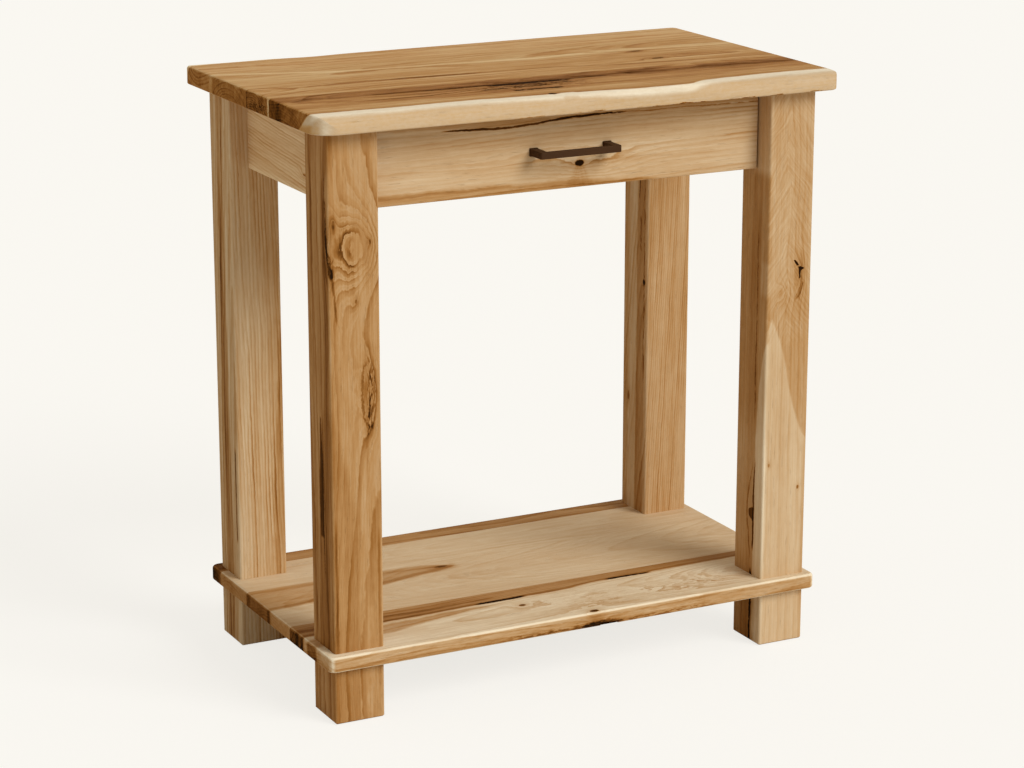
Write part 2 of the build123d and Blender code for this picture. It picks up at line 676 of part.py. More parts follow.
# Drawer front, set back between the posts, and its bar pull
front_face = box_front - board_thickness
front_half = inner_x - drawer_front_side_gap
front_top = top_under - drawer_front_top_gap
with BuildPart() as drawer_front:
    with BuildSketch(Plane.XZ.offset(-box_front)):
        with Locations((0, (drawer_front_bottom + front_top) / 2)):
            Rectangle(2 * front_half, front_top - drawer_front_bottom)
    extrude(amount=board_thickness)
    fillet(drawer_front.faces().sort_by(Axis.Y)[0].edges(), 1.2)
    with BuildSketch(Plane.XZ.offset(-box_front)):
        with Locations(pull_screw_places):
            Circle(wood_screw_hole)
    extrude(amount=board_thickness, mode=Mode.SUBTRACT)
    with BuildSketch(Plane.XZ.offset(-box_front)):
        with Locations(face_screw_places):
            Circle(wood_screw_hole)
    extrude(amount=face_screw_reach + 2 * blind_gap, mode=Mode.SUBTRACT)
save(drawer_front, "drawer_front")

with BuildPart() as pull:
    with BuildSketch(Plane.XY.offset(pull_z - pull_height / 2)):
        with Locations((0, front_face - pull_standoff / 2)):
            Rectangle(pull_length, pull_standoff)
        with Locations((0, front_face - (pull_standoff - pull_bar) / 2)):
            Rectangle(pull_length - 2 * pull_leg, pull_standoff - pull_bar, mode=Mode.SUBTRACT)
    extrude(amount=pull_height)
    fillet(pull.edges().filter_by(Axis.Z).group_by(Axis.Y)[0], pull_corner)
    fillet(pull.faces().sort_by(Axis.Y)[0].edges(), pull_ease)
    with BuildSketch(Plane.XZ.offset(-front_face)):
        with Locations(pull_screw_places):
            RectangleRounded(pad_length, pad_height, 1.0)
    extrude(amount=pad_thickness)
    with BuildSketch(Plane.XZ.offset(-front_face)):
        with Locations(pull_screw_places):
            Circle(pull_screw_radius + hole_fit)
    extrude(amount=pull_hole_depth, mode=Mode.SUBTRACT)
save(pull, "pull")

with BuildPart() as drawer_front_screws:
    with BuildSketch(Plane.XZ.offset(-box_front - box_wall)):
        with Locations(face_screw_places):
            Circle(wood_screw_radius)
    extrude(amount=box_wall + face_screw_reach)
    with BuildSketch(Plane.XZ.offset(-box_front - box_wall)):
        with Locations(face_screw_places):
            Circle(face_screw_head)
            Rectangle(drive_size, drive_size, mode=Mode.SUBTRACT)
    extrude(amount=-low_head)
save(drawer_front_screws, "drawer_front_screws")

with BuildPart() as pull_screws:
    with BuildSketch(Plane.XZ.offset(-box_front - box_wall)):
        with Locations(pull_screw_places):
            Circle(pull_screw_radius)
    extrude(amount=box_wall + board_thickness + pull_screw_reach)
    with BuildSketch(Plane.XZ.offset(-box_front - box_wall)):
        with Locations(pull_screw_places):
            Circle(pull_screw_head)
            Rectangle(slot_length, slot_width, mode=Mode.SUBTRACT)
            Rectangle(slot_width, slot_length, mode=Mode.SUBTRACT)
    extrude(amount=-low_head)
save(pull_screws, "pull_screws")
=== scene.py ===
"""Looks of the rustic hickory side table: procedural wood for each board, metal, lights and camera."""
import math
import bpy
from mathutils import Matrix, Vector

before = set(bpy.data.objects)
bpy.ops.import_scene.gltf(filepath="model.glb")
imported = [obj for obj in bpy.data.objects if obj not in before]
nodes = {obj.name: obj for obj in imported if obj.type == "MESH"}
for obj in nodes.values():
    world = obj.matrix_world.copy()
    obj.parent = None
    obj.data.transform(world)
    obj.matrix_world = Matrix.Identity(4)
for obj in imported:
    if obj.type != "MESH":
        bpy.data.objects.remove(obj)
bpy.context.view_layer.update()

MM = 1000.0  # shader coordinates are in millimetres
TOP = 762.0  # height of the table's top face, in millimetres


def linear(red, green, blue):
    """Linear colour of an sRGB one given as 0 to 255."""
    def one(value):
        c = value / 255
        return c / 12.92 if c <= 0.04045 else ((c + 0.055) / 1.055) ** 2.4
    return (one(red), one(green), one(blue), 1.0)


# ---------------------------------------------------------------- shader arithmetic

class Value:
    """A number or vector inside a shader."""

    def __init__(self, graph, socket):
        self.graph, self.socket = graph, socket

    def __add__(self, other): return self.graph.math("ADD", self, other)
    def __radd__(self, other): return self.graph.math("ADD", other, self)
    def __sub__(self, other): return self.graph.math("SUBTRACT", self, other)
    def __rsub__(self, other): return self.graph.math("SUBTRACT", other, self)
    def __mul__(self, other): return self.graph.math("MULTIPLY", self, other)
    def __truediv__(self, other): return self.graph.math("DIVIDE", self, other)
    def __abs__(self): return self.graph.math("ABSOLUTE", self)


class Graph:
    """A node tree built from expressions: the given one, or that of a new material."""

    def __init__(self, name="", tree=None):
        if tree is None:
            self.material = bpy.data.materials.new(name)
            self.material.use_nodes = True
            tree = self.material.node_tree
        self.tree = tree
        self.tree.nodes.clear()

    def put(self, socket, value):
        if isinstance(value, Value):
            self.tree.links.new(value.socket, socket)
        else:
            socket.default_value = value

    def node(self, kind, inputs, out=0, **settings):
        """One output of a new shader node."""
        made = self.tree.nodes.new("ShaderNode" + kind)
        for key, value in settings.items():
            setattr(made, key, value)
        for key, value in inputs.items():
            self.put(made.inputs[key], value)
        return Value(self, made.outputs[out])

    def math(self, operation, *values):
        return self.node("Math", dict(enumerate(values)), operation=operation)

    def largest(self, first, *others):
        for other in others:
            first = self.math("MAXIMUM", first, other)
        return first

    def clamped(self, value):
        """The value kept from 0 to 1."""
        return self.math("MINIMUM", self.math("MAXIMUM", value, 0.0), 1.0)

    def place(self):
        """Object coordinates in millimetres."""
        where = self.node("TexCoord", {}, out="Object")
        return [self.node("SeparateXYZ", {"Vector": where}, out=i) * MM for i in range(3)]

    def facing(self):
        """The surface normal's parts in object space."""
        normal = self.node("TexCoord", {}, out="Normal")
        return [self.node("SeparateXYZ", {"Vector": normal}, out=i) for i in range(3)]

    def step(self, value, low, high):
        """0 below low, 1 above high, smooth between; or the reverse when low is above high."""
        return self.node("MapRange", {"Value": value, "From Min": low, "From Max": high},
                         interpolation_type="SMOOTHSTEP")

    def noise(self, a, b, c, detail=2.0, rough=0.5):
        """Smooth noise from -0.5 to 0.5 or so."""
        where = self.node("CombineXYZ", {0: a, 1: b, 2: c})
        inputs = {"Vector": where, "Scale": 1.0, "Detail": detail, "Roughness": rough}
        return self.node("TexNoise", inputs) - 0.5

    def curve(self, value, points):
        """A smooth line through (value, result) points."""
        xs, ys = zip(*sorted(points))
        low, span = xs[0], xs[-1] - xs[0]
        base, height = min(ys), max(max(ys) - min(ys), 1e-6)
        made = self.tree.nodes.new("ShaderNodeFloatCurve")
        made.mapping.use_clip = False
        line = made.mapping.curves[0]
        while len(line.points) < len(points):
            line.points.new(0.5, 0.5)
        for spot, x, y in zip(line.points, xs, ys):
            spot.location = ((x - low) / span, (y - base) / height)
            spot.handle_type = "AUTO_CLAMPED"
        made.mapping.update()
        self.put(made.inputs["Value"], self.clamped((value - low) / span))
        return Value(self, made.outputs[0]) * height + base

    def ramp(self, value, stops):
        """A colour ramp over (position, colour) stops."""
        made = self.tree.nodes.new("ShaderNodeValToRGB")
        self.put(made.inputs[0], value)
        elements = made.color_ramp.elements
        while len(elements) < len(stops):
            elements.new(0.5)
        for element, (position, colour) in zip(elements, stops):
            element.position = position
            element.color = colour
        return Value(self, made.outputs[0])

    def finish(self, colour, roughness, height, bump, **fixed):
        """The surface shader. bump is the relief's depth in metres, and fixed holds sockets of one value."""
        shader = self.tree.nodes.new("ShaderNodeBsdfPrincipled")
        self.put(shader.inputs["Base Color"], colour)
        self.put(shader.inputs["Roughness"], roughness)
        normal = self.node("Bump", {"Height": height, "Strength": 1.0, "Distance": bump})
        self.put(shader.inputs["Normal"], normal)
        for key, value in fixed.items():
            shader.inputs[key.replace("_", " ")].default_value = value
        self.show(Value(self, shader.outputs[0]), "Material")
        return self.material

    def show(self, surface, kind):
        """Link the surface to an output node: Material or World."""
        self.put(self.tree.nodes.new("ShaderNodeOutput" + kind).inputs["Surface"], surface)


# ---------------------------------------------------------------- wood

# Tone runs from the palest sapwood at 0 to bark and cracks at 1
WOOD_TONES = (
    (0.00, linear(240, 226, 198)),
    (0.15, linear(219, 196, 161)),
    (0.30, linear(203, 171, 130)),
    (0.45, linear(184, 141, 91)),
    (0.60, linear(156, 107, 54)),
    (0.75, linear(117, 73, 29)),
    (0.90, linear(70, 42, 16)),
    (1.00, linear(38, 23, 10)),
)
SAP_TO_BROWN = (0.22, 0.36)  # the tones between which sap_tint gives way to tint
FADE = 3.0  # half the width, in millimetres, over which a feature fades at the ends of its depth


def streak(side, low, high, tone, soft=2.0, ragged=3.0, jag=0.0, depth=None, ends=None, broken=0.0):
    """A band along the grain. All lengths are in millimetres, in the table's own coordinates.

    side is the axis that it is measured across. low and high are its edges: numbers, lines of (along,
    across) points, or None where it has no edge. tone is added inside. The edges are soft, and wander by
    ragged and, more finely, by jag. depth is (from, to) on the other axis across the grain, and ends is
    (first, last, fade) along it. The higher broken is, the more gaps it has.
    """
    return dict(side=side, low=low, high=high, tone=tone, soft=soft, ragged=ragged, jag=jag, depth=depth,
                ends=ends, broken=broken)


def crack(side, low, high, tone, ends, depth=None, broken=0.42, jag=2.2):
    """A thin dark split or line of bark, broken and ragged."""
    return streak(side, low, high, tone, soft=0.7, ragged=3.0, jag=jag, depth=depth, ends=ends, broken=broken)


def knot(side, at, size, push, tone, core=0.0, core_tone=0.5, depth=None, curl=0.0, lines=0.0):
    """A place that the grain flows round. at and size are (along, across).

    push is how many rings the grain is moved by, curl crinkles it, and lines makes the rings stronger or,
    below 0, fainter. core is how much of the knot is its dark middle.
    """
    return dict(side=side, at=at, size=size, push=push, tone=tone, core=core, core_tone=core_tone,
                depth=depth, curl=curl, lines=lines)


def wood(name, along, pith, tilt=(0.0, 0.0), ring=5.0, base=0.4, seed=0.0, wander=10.0, contrast=1.0,
         stripes=0.0, figure=0.08, wear_and_highlight=0.07, streaks=(), knots=(), end_tone=0.16, gloss=0.46, tint=None,
         sap_tint=None, extra=None):
    """Wood cut from a log: rings about a pith line, fibres, pores, streaks and knots.

    along is the axis of the grain. pith and tilt are across it: where the pith line passes, and its slope.
    ring is the rings' width in millimetres, and wander how far they stray. base is the mean tone. stripes and
    figure are the strengths of long stripes and of finer marks. wear_and_highlight is taken off the tone on
    arrises, as sanding wear and as a painted highlight, and end_tone added on end grain. extra is a
    function that changes it further. tint multiplies the colour, and sap_tint takes its place in pale wood.
    """
    g = Graph(name)
    place = dict(zip("xyz", g.place()))
    facing = dict(zip("xyz", g.facing()))
    across = [axis for axis in "xyz" if axis != along]
    u, v, w = place[along], place[across[0]], place[across[1]]

    def grain(lengthwise, crosswise, detail, rough=0.5, shift=0.0):
        """Noise drawn out along the grain. The first two are its frequencies per millimetre."""
        start = u * lengthwise + (seed + shift)
        return g.noise(start, v * crosswise, w * crosswise, detail=detail, rough=rough)

    def line(value):
        return g.curve(u, value) if isinstance(value, tuple) else value

    def reach(feature):
        """1 inside the feature's depth and 0 outside it, or None where it has no depth."""
        if feature["depth"] is None:
            return None
        other = place[[axis for axis in across if axis != feature["side"]][0]]
        low, high = feature["depth"]
        return g.step(other, low - FADE, low + FADE) * g.step(other, high + FADE, high - FADE)

    def masked(value, mask):
        return value if mask is None else value * mask

    # rings, drawn round the pith, crinkled, and pushed aside by the knots
    drift_v = grain(0.0022, 0.008, detail=2.0)
    drift_w = grain(0.0022, 0.008, detail=2.0, shift=31.0)
    ripple = grain(0.012, 0.05, detail=3.0, rough=0.6, shift=7.0)
    crinkle = grain(0.050, 0.12, detail=3.0, rough=0.6, shift=23.0)
    from_pith_v = v - (u * tilt[0] + pith[0]) + drift_v * (4 * wander)
    from_pith_w = w - (u * tilt[1] + pith[1]) + drift_w * (4 * wander)
    rings = g.math("SQRT", from_pith_v * from_pith_v + from_pith_w * from_pith_w) / ring
    rings = rings + ripple * 0.9 + crinkle * 0.45
    tone_of_knots, ring_contrast = 0.0, 1.0
    for spec in knots:
        (at_u, at_s), (size_u, size_s) = spec["at"], spec["size"]
        du, ds = (u - at_u) / size_u, (place[spec["side"]] - at_s) / size_s
        away = du * du + ds * ds
        mask = reach(spec)
        halo = masked(g.math("EXPONENT", away * -1.0), mask)
        rings = rings + halo * (crinkle * spec["curl"] + spec["push"] if spec["curl"] else spec["push"])
        if spec["tone"]:
            tone_of_knots = halo * spec["tone"] + tone_of_knots
        if spec["lines"]:
            ring_contrast = halo * spec["lines"] + ring_contrast
        if spec["core"]:
            rough_edge = grain(0.25, 0.25, detail=3.0)
            core = g.step(away + rough_edge * (0.9 * spec["core"]), spec["core"], spec["core"] * 0.45)
            tone_of_knots = masked(core, mask) * spec["core_tone"] + tone_of_knots

    # each ring goes from pale early wood to dark late wood, with its own strength
    phase = g.math("FRACT", rings)
    late = g.step(phase, 0.22, 0.84) * g.step(phase, 1.0, 0.86)
    each = g.node("TexWhiteNoise", {"W": g.math("FLOOR", rings)}, noise_dimensions="1D")
    inner_lines = abs(g.math("FRACT", rings * 3.0) - 0.5)
    # the lines come and go
    strength = g.step(grain(0.007, 0.035, detail=2.0, shift=41.0), -0.20, 0.16) * 0.7 + 0.3

    # fibres, long stains, broad clouds, small mottles and pores
    fibre = grain(0.012, 0.45, detail=4.0, rough=0.65)
    stain = grain(0.0030, 0.060, detail=3.0, rough=0.6)
    cloud = grain(0.006, 0.018, detail=1.0)
    mottle = grain(0.045, 0.10, detail=4.0, rough=0.7, shift=53.0)
    pores = g.step(grain(0.06, 1.5, detail=2.0), 0.10, 0.24) * g.step(phase, 0.55, 0.15)
    end = g.step(abs(facing[along]), 0.55, 0.85)

    lines = late * (each * 0.12 + 0.035) * strength + (each - 0.5) * 0.03 - inner_lines * strength * 0.05
    tone = lines * (ring_contrast * contrast) + (base + 0.01)
    tone = tone + fibre * 0.20 + stain * (0.24 * contrast) + cloud * 0.14 + mottle * 0.10 + pores * 0.06
    tone = tone + grain(0.018, 0.15, detail=4.0, rough=0.65, shift=79.0) * figure
    if stripes:
        tone = tone + grain(0.0035, 0.20, detail=3.0, rough=0.6, shift=67.0) * stripes
    if knots:
        tone = tone + tone_of_knots

    # streaks of heartwood, sapwood, bark and cracks
    if streaks:
        wobble = grain(0.02, 0.03, detail=4.0, rough=0.6, shift=3.0)
        jags = grain(0.14, 0.35, detail=4.0, rough=0.7, shift=5.0)
    for spec in streaks:
        s = place[spec["side"]] + wobble * (2 * spec["ragged"])
        if spec["jag"]:
            s = s + jags * (2 * spec["jag"])
        soft = spec["soft"]
        inside = None
        if spec["low"] is not None:
            inside = g.step(s - line(spec["low"]), -soft, soft)
        if spec["high"] is not None:
            upper = g.step(s - line(spec["high"]), soft, -soft)
            inside = upper if inside is None else inside * upper
        if spec["ends"]:
            first, last, fade = spec["ends"]
            inside = inside * g.step(u, first - fade, first) * g.step(u, last + fade, last)
        if spec["broken"]:
            gaps = grain(0.07, 0.3, detail=3.0, rough=0.6, shift=11.0)
            inside = inside * g.step(gaps, spec["broken"] - 0.56, spec["broken"] - 0.44)
        tone = tone + masked(inside, reach(spec)) * spec["tone"]
    if extra:
        tone = extra(g, place, facing, tone, seed)
    # sanded arrises are a little paler: partly wear, partly a painted highlight
    widest = g.largest(abs(facing["x"]), abs(facing["y"]), abs(facing["z"]))
    tone = g.clamped(tone + end * end_tone - g.step(widest, 0.985, 0.90) * wear_and_highlight)

    colour = g.ramp(tone, WOOD_TONES)
    if tint:
        brown = g.step(tone, *SAP_TO_BROWN) if sap_tint else 1.0
        for value, share in ((tint, brown), (sap_tint, 1.0 - brown)):
            if value:
                change = g.node("VectorMath", {0: tuple(c - 1.0 for c in value), "Scale": share},
                                operation="SCALE")
                whole = g.node("VectorMath", {0: change, 1: (1.0, 1.0, 1.0)}, operation="ADD")
                colour = g.node("VectorMath", {0: colour, 1: whole}, operation="MULTIPLY")
    roughness = gloss + fibre * 0.16 + end * 0.14 + pores * 0.15 + g.step(tone, 0.65, 0.90) * 0.3
    height = fibre * 0.5 + mottle * 0.3 + late * 0.2 - pores * 0.7
    return g.finish(colour, roughness, height, bump=0.00035, Specular_IOR_Level=0.007)


def assign(material, *names):
    """Give CAD nodes one material."""
    for name in names:
        slots = nodes[name].data.materials
        slots.clear()
        slots.append(material)


# ---------------------------------------------------------------- the top

TOP_TINT = (1.02, 0.975, 0.82)

# Where the top's front arris runs, and where the sapwood on its back arris ends: (X, Y)
FRONT_ARRIS = ((-370, -188), (-290, -189), (-215, -188.5), (-178, -187), (-110, -190.5), (-47, -194.5),
               (0, -196), (50, -202.5), (105, -204.4), (130, -204.2), (155, -197), (180, -188.5), (240, -183),
               (300, -181), (370, -184))
BACK_SAPWOOD = ((-370, 196), (-300, 200), (-240, 200), (-190, 203), (-130, 209), (-40, 219), (60, 226))


def natural_edge(g, place, facing, tone, seed):
    """Pale sapwood outside a line that leans back from the arris, with bark flecks along the lower edge."""
    x, y, z = place["x"], place["y"], place["z"]
    wobble = g.noise(x * 0.02 + seed, y * 0.04, z * 0.04, detail=4.0, rough=0.6)
    # how far outside the line, in millimetres, with a small bulge beside the knot
    out = g.curve(x, FRONT_ARRIS) + (TOP - z) * 1.3 + 2.0 - y + wobble * 7.0
    out = out + g.step(abs(x + 22.0), 13.0, 7.0) * 3.5
    # the clipped corner at the left is pale all over
    corner = g.step(facing["x"] * -1.0, 0.2, 0.5) * g.step(facing["y"] * -1.0, 0.2, 0.5)
    sap = g.largest(g.step(out, -2.0, 3.0), corner)
    grain = g.noise(x * 0.012, y * 0.10, z * 0.35, detail=3.0, rough=0.6)
    speckle = g.noise(x * 0.16, y * 0.3, z * 0.3, detail=4.0, rough=0.7)
    # a painted highlight: the sapwood's upper part, just below the arris, is made paler
    upper = g.step(z, TOP - 20.0, TOP - 10.0) * g.step(out, 24.0, 12.0)
    # the clipped corner is made paler still: partly to take off its end-grain tone, partly painted light that
    # offsets the shade of a face turned from the light
    pale = 0.255 + grain * 0.14 + speckle * 0.14 - upper * 0.24 - corner * 0.14
    tone = tone + (pale - tone) * sap
    # a warm line just behind the boundary
    tone = tone + g.step(out, -9.0, -2.0) * g.step(out, 0.5, -1.5) * 0.06
    # the small dark knot on the boundary
    knot_x, knot_out = (x + 41.0) * 0.17 + speckle * 0.6, out + 2.0
    tone = tone + g.step(knot_x * knot_x + knot_out * knot_out * 0.03, 1.1, 0.4) * 0.50
    # bark flecks on the left half's lower edge
    flecks = g.noise(x * 0.05 + 5.0, y * 0.2, z * 0.4, detail=4.0, rough=0.7)
    low = g.step(z, TOP - 17.5, TOP - 22.5) * g.step(y, -196.0, -203.0)
    bark = g.step(flecks + low * 0.35, 0.36, 0.46) * low * g.step(x, -190.0, 20.0)
    return tone + bark * 0.5


def end_checks(g, place, facing, tone, seed):
    """Black checks in the lower half of a board's left end, and the pale line of glue at its front side."""
    y, z = place["y"], place["z"]
    web = g.noise(y * 0.11 + seed, z * 0.16, 1.0, detail=4.0, rough=0.7)
    check = g.step(abs(web), 0.030, 0.010) * g.step(z, TOP - 7.0, TOP - 14.0) * g.step(y, -2.0, -12.0)
    glue = g.step(y, -61.0, -63.5)
    return tone + (check * 0.42 - glue * 0.42) * g.step(facing["x"] * -1.0, 0.6, 0.9)


def back_sapwood(g, place, facing, tone, seed):
    """A thin wedge of sapwood along the back arris, which tapers out to the right."""
    x, y, z = place["x"], place["y"], place["z"]
    wobble = g.noise(x * 0.02 + seed, y * 0.05, z * 0.05, detail=4.0, rough=0.6)
    out = y - g.curve(x, BACK_SAPWOOD) - (TOP - z) * 0.42 + wobble * 4.0
    sap = g.step(out, -0.8, 1.2)
    grain = g.noise(x * 0.012, y * 0.3, z * 0.3, detail=3.0, rough=0.6)
    tone = tone + (0.10 + grain * 0.15 - tone) * sap
    return tone + g.step(out, -4.0, -1.0) * g.step(out, 0.4, -0.8) * 0.12


assign(wood(
    "wood_top_front", "x", pith=(-95, 640), tilt=(0.02, 0.05), ring=3.6, base=0.42,
    tint=TOP_TINT, sap_tint=(0.95, 0.965, 1.0), seed=3.0, wander=7, contrast=1.25,
    stripes=0.20, figure=0.26, wear_and_highlight=0.0, end_tone=0.17, extra=natural_edge,
    streaks=[
        streak("y", -152, None, 0.08, soft=14, ragged=10),
        streak("y", -108, ((-359, -66), (-263, -68), (-58, -76), (89, -72), (220, -80), (359, -84)), 0.12,
               soft=9, ragged=8),
        streak("y", ((-359, -98), (-100, -104), (60, -100), (200, -112), (359, -110)),
               ((-359, -88), (-100, -92), (60, -88), (200, -96), (359, -98)), 0.09, soft=3, ragged=6,
               jag=1.0),
        streak("y", ((-359, -152), (-200, -152), (-42, -160), (60, -150), (359, -140)),
               ((-359, -146), (-200, -140), (-42, -138), (60, -142), (359, -132)), 0.07, soft=5, ragged=6),
        crack("y", -112, -104, 0.50, ends=(-78, 16, 14), broken=0.40, jag=3.4),
        crack("y", -104, -101, 0.40, ends=(-150, 60, 30), broken=0.30),
        crack("y", -124, -118, 0.34, ends=(-60, 30, 16), broken=0.48, jag=3.4),
        crack("y", -154, -147, 0.52, ends=(-66, -12, 10), broken=0.42, jag=3.4),
        crack("y", -133, -127, 0.44, ends=(-100, -20, 12), broken=0.44, jag=3.0),
    ],
    knots=[
        knot("y", (-39, -200), (11, 7), 1.5, 0.12, core=0.35, core_tone=0.42),
        knot("y", (-40, -128), (90, 30), 2.6, 0.11, curl=3.0, lines=1.2),
        knot("y", (150, -112), (60, 18), -1.5, 0.04),
    ]), "top_board_front")
assign(wood(
    "wood_top_mid_front", "x", pith=(-10, 700), tilt=(0.01, -0.03), ring=3.4, base=0.415,
    tint=TOP_TINT, seed=7.0, wander=10, contrast=1.35, stripes=0.30, figure=0.26,
    end_tone=0.24, extra=end_checks,
    streaks=[
        streak("y",
               ((-359, 2), (-247, -2), (-166, -8), (-98, -15), (32, -17), (113, -34), (199, -44),
                (359, -54)),
               ((-359, 6), (-247, 1.5), (-166, -4.5), (-98, -11), (32, -13), (113, -30), (199, -40),
                (359, -50)), 0.15, soft=1.6, ragged=2),
        streak("y", -58, ((-359, -66), (-100, -64), (60, -52), (200, -44), (359, -54)), 0.05, soft=6,
               ragged=5),
    ],
    knots=[
        knot("y", (205, -14), (22, 8), 2.6, 0.18, core=0.20, core_tone=0.40, curl=1.0),
        knot("y", (-150, -38), (90, 14), 1.6, 0.03),
    ]), "top_board_mid_front")
assign(wood(
    "wood_top_mid_back", "x", pith=(75, 690), tilt=(0.02, 0.02), ring=4.0, base=0.38,
    tint=TOP_TINT, seed=12.0, wander=9, contrast=1.1, stripes=0.18, figure=0.22,
    end_tone=0.22,
    streaks=[
        streak("y",
               ((-359, 118), (-263, 88), (-187, 69), (-131, 65), (-18, 58), (69, 52), (166, 57), (359, 44)),
               ((-359, 131), (-263, 99), (-187, 79), (-131, 75), (-18, 67), (69, 62), (166, 73), (359, 62)),
               -0.17, soft=3.5, ragged=4, jag=1.0),
        streak("y", None, 22, 0.04, soft=10, ragged=8),
    ],
    knots=[
        knot("y", (207, 48), (20, 7), 2.4, 0.18, core=0.20, core_tone=0.40, curl=1.0),
        knot("y", (160, 36), (24, 8), 1.6, 0.12),
    ]), "top_board_mid_back")
assign(wood(
    "wood_top_back", "x", pith=(165, 820), tilt=(0.015, 0.0), ring=4.4, base=0.33,
    tint=(1.04, 0.975, 0.82), seed=18.0, wander=8, contrast=1.0, stripes=0.15, figure=0.20,
    end_tone=0.20, extra=back_sapwood), "top_board_back")


# ---------------------------------------------------------------- the shelf

def shelf_edges(g, place, facing, tone, seed):
    """The shelf's front edge is browner than its top, and rough."""
    front = g.step(facing["y"] * -1.0, 0.75, 0.97)
    rough = g.noise(place["x"] * 0.05, place["z"] * 0.3, 2.0, detail=4.0, rough=0.7)
    return tone + front * (rough * 0.34 + 0.27)


assign(wood(
    "wood_shelf_back", "x", pith=(188, 30), tilt=(0.05, 0.02), ring=3.4, base=0.50, seed=21.0, wander=7,
    stripes=0.12, end_tone=0.20,
    streaks=[
        streak("y", 168, None, 0.18, soft=6, ragged=6, ends=(-360, -318, 26)),
    ]), "shelf_board_back")
assign(wood(
    "wood_shelf_mid_back", "x", pith=(120, -20), tilt=(0.02, 0.03), ring=4.6, base=0.19, seed=26.0,
    wander=9, contrast=0.6, stripes=0.07, figure=0.12, end_tone=0.34), "shelf_board_mid_back")
assign(wood(
    "wood_shelf_mid_front", "x", pith=(10, -10), tilt=(0.03, 0.12), ring=4.4, base=0.19, seed=34.0,
    wander=10, contrast=0.6, stripes=0.08, figure=0.12, end_tone=0.32,
    streaks=[
        streak("y", ((-349, -6), (-295, -1), (-174, 21), (-119, 33), (-88, 37), (-62, 46), (-40, 60)),
               ((-349, 78), (-264, 74), (-154, 68), (-104, 66), (-67, 52), (-40, 50)), 0.21, soft=3,
               ragged=5, jag=1.5, ends=(-360, -66, 10)),
        streak("y", ((-349, -9), (-295, -4), (-174, 18), (-119, 30), (-60, 38)),
               ((-349, 2), (-295, 8), (-174, 31), (-119, 42), (-60, 48)), 0.13, soft=2.5, ragged=4, jag=2.0,
               ends=(-360, -70, 20)),
        streak("y", ((-349, 60), (-264, 58), (-154, 56), (-67, 48)),
               ((-349, 70), (-264, 67), (-154, 62), (-67, 52)), 0.08, soft=2.5, ragged=4,
               ends=(-360, -75, 20)),
    ],
    knots=[
        knot("y", (-80, 50), (20, 7), 1.2, 0.16, core=0.30, core_tone=0.20, curl=1.5),
    ]), "shelf_board_mid_front")
assign(wood(
    "wood_shelf_front", "x", pith=(-150, 40), tilt=(0.02, 0.03), ring=3.6, base=0.10, seed=41.0, wander=12,
    contrast=1.0, stripes=0.10, figure=0.18, wear_and_highlight=0.13, end_tone=0.30, extra=shelf_edges,
    streaks=[
        streak("y",
               ((-349, -114), (-238, -111), (-84, -106), (17, -104), (81, -95), (218, -92), (349, -88)),
               None, 0.385, soft=2, ragged=3, jag=1.2),
        streak("y",
               ((-349, -117), (-238, -114), (-84, -109), (17, -107), (81, -98), (218, -95), (349, -91)),
               ((-349, -107), (-238, -104), (-84, -100), (17, -98), (81, -90), (218, -87), (349, -83)),
               0.15, soft=2.5, ragged=3, jag=1.4),
        streak("y", ((-349, -99), (-200, -97), (-60, -92)), ((-349, -90), (-200, -90), (-60, -88)), 0.16,
               soft=2, ragged=4, jag=1.4, ends=(-360, -90, 30)),
        crack("y", -107, -101, 0.7, ends=(-92, -45, 16), broken=0.28),
        crack("y", -96.5, -92, 0.7, ends=(100, 148, 14), broken=0.28),
        streak("y", ((-349, -156), (-245, -146), (-110, -122), (0, -118)),
               ((-349, -128), (-245, -119), (-110, -114), (0, -116)), 0.30, soft=4, ragged=8, jag=2.0,
               ends=(-360, -120, 60)),
        streak("z", None, 80, 0.22, soft=2, ragged=4, jag=2.0, ends=(-70, 150, 60), broken=0.5),
        streak("z", None, 79, 0.10, soft=3, ragged=3, jag=1.5),
    ],
    knots=[
        knot("y", (-52, -133), (12, 9), 1.8, 0.14, core=0.20, core_tone=0.50, curl=2.0),
        knot("y", (20, -193), (14, 9), 1.8, 0.18, core=0.26, core_tone=0.60, curl=2.0),
        knot("y", (60, -150), (90, 30), 3.0, 0.04, curl=4.0, lines=1.5),
        knot("y", (190, -150), (60, 26), 2.0, 0.0, curl=3.0, lines=1.2),
        knot("z", (27, 74), (36, 10), 0.8, 0.24, core=0.85, core_tone=0.24, depth=(-201, -190)),
    ]), "shelf_board_front")


# ---------------------------------------------------------------- posts, each with the foot of the same wood

# Depths: (from, to) in X for the left faces, and in Y for the front faces
LEFT_FACE_OF_LEFT = (-340, -331)
LEFT_FACE_OF_RIGHT = (265, 275)
FRONT_FACE = (-192, -165)
FRONT_SKIN = (-192, -186)


def waves_on_front(g, place, facing, tone, seed):
    """Short slanting strokes and nested waves on the upper part of the front right post's front face."""
    x, z = place["x"], place["z"]
    front = g.step(place["y"], -183.0, -188.0)
    upper = g.step(z, 392.0, 440.0)
    side = abs(x - 301.0 + g.noise(z * 0.016, 9.0, 2.0) * 26.0)
    strokes = g.noise((z + side * 1.5) * 0.20, x * 0.035, 2.0, detail=3.0, rough=0.6)
    return tone + strokes * front * upper * 0.34


